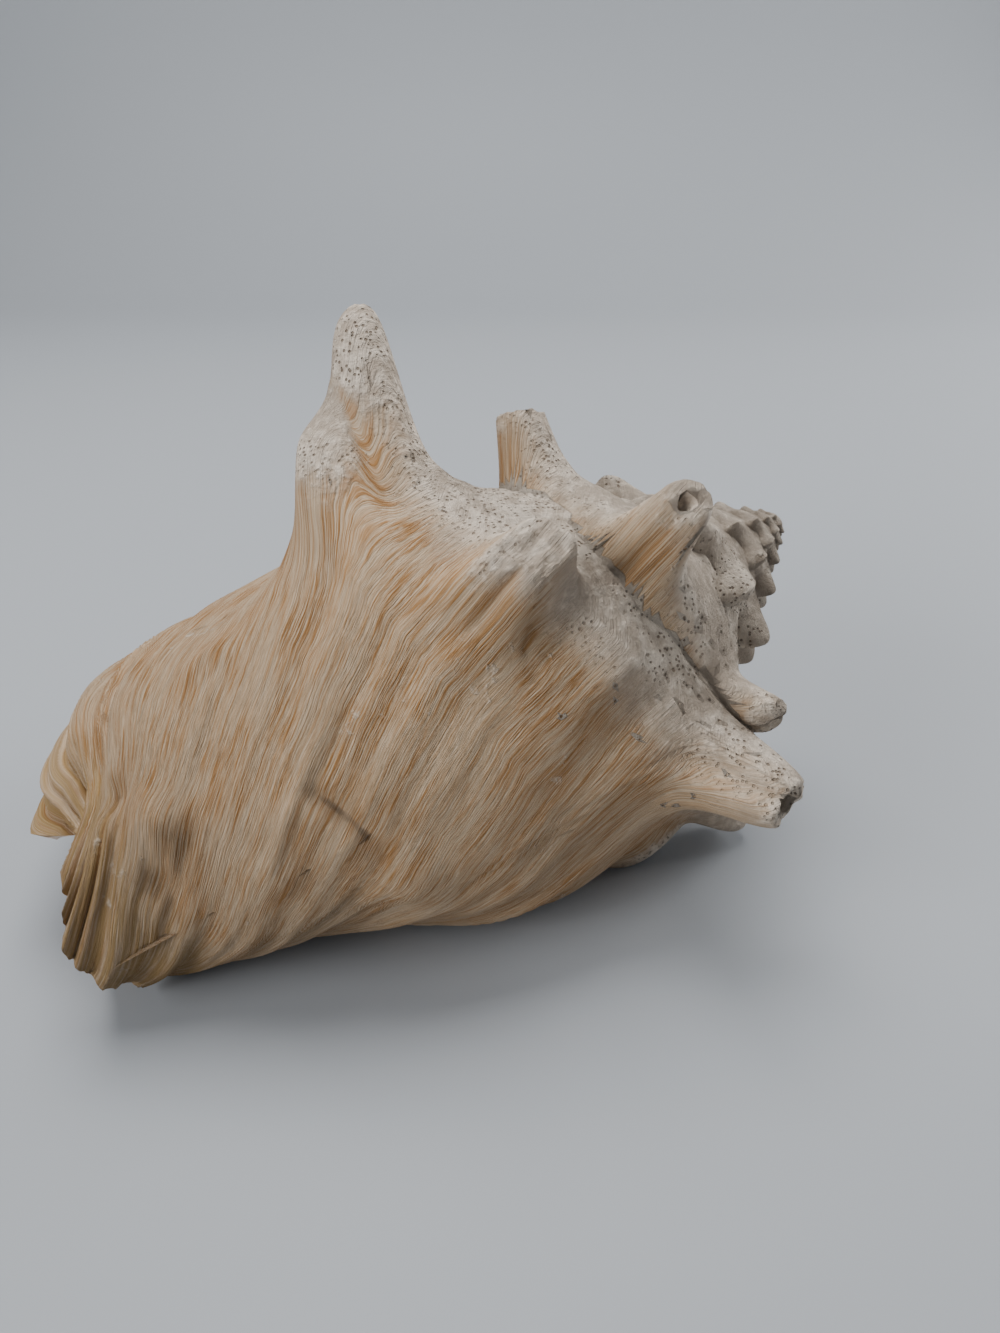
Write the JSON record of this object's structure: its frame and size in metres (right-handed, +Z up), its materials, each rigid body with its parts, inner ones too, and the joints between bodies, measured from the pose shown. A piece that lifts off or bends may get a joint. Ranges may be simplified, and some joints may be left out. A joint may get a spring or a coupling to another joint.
{
  "type": "queen conch shell",
  "caption": "Spiral sea shell with long spines, a knobbed spire, a broad flared lip and an open mouth, lying mouth down",
  "frame": {"origin": "middle of the shell's outline on the surface it lies on", "axes": "+X along the shell towards the tip of the spire, +Y towards the flared lip, +Z up"},
  "size_m": [0.2394, 0.1954, 0.1608],
  "materials": {
    "shell": "dry, weathered shell: cream with fine orange-brown growth streaks, chalky white where worn, glossy pink inside the mouth"
  },
  "bodies": {
    "root": {"shell": "shell"}
  },
  "joints": []
}
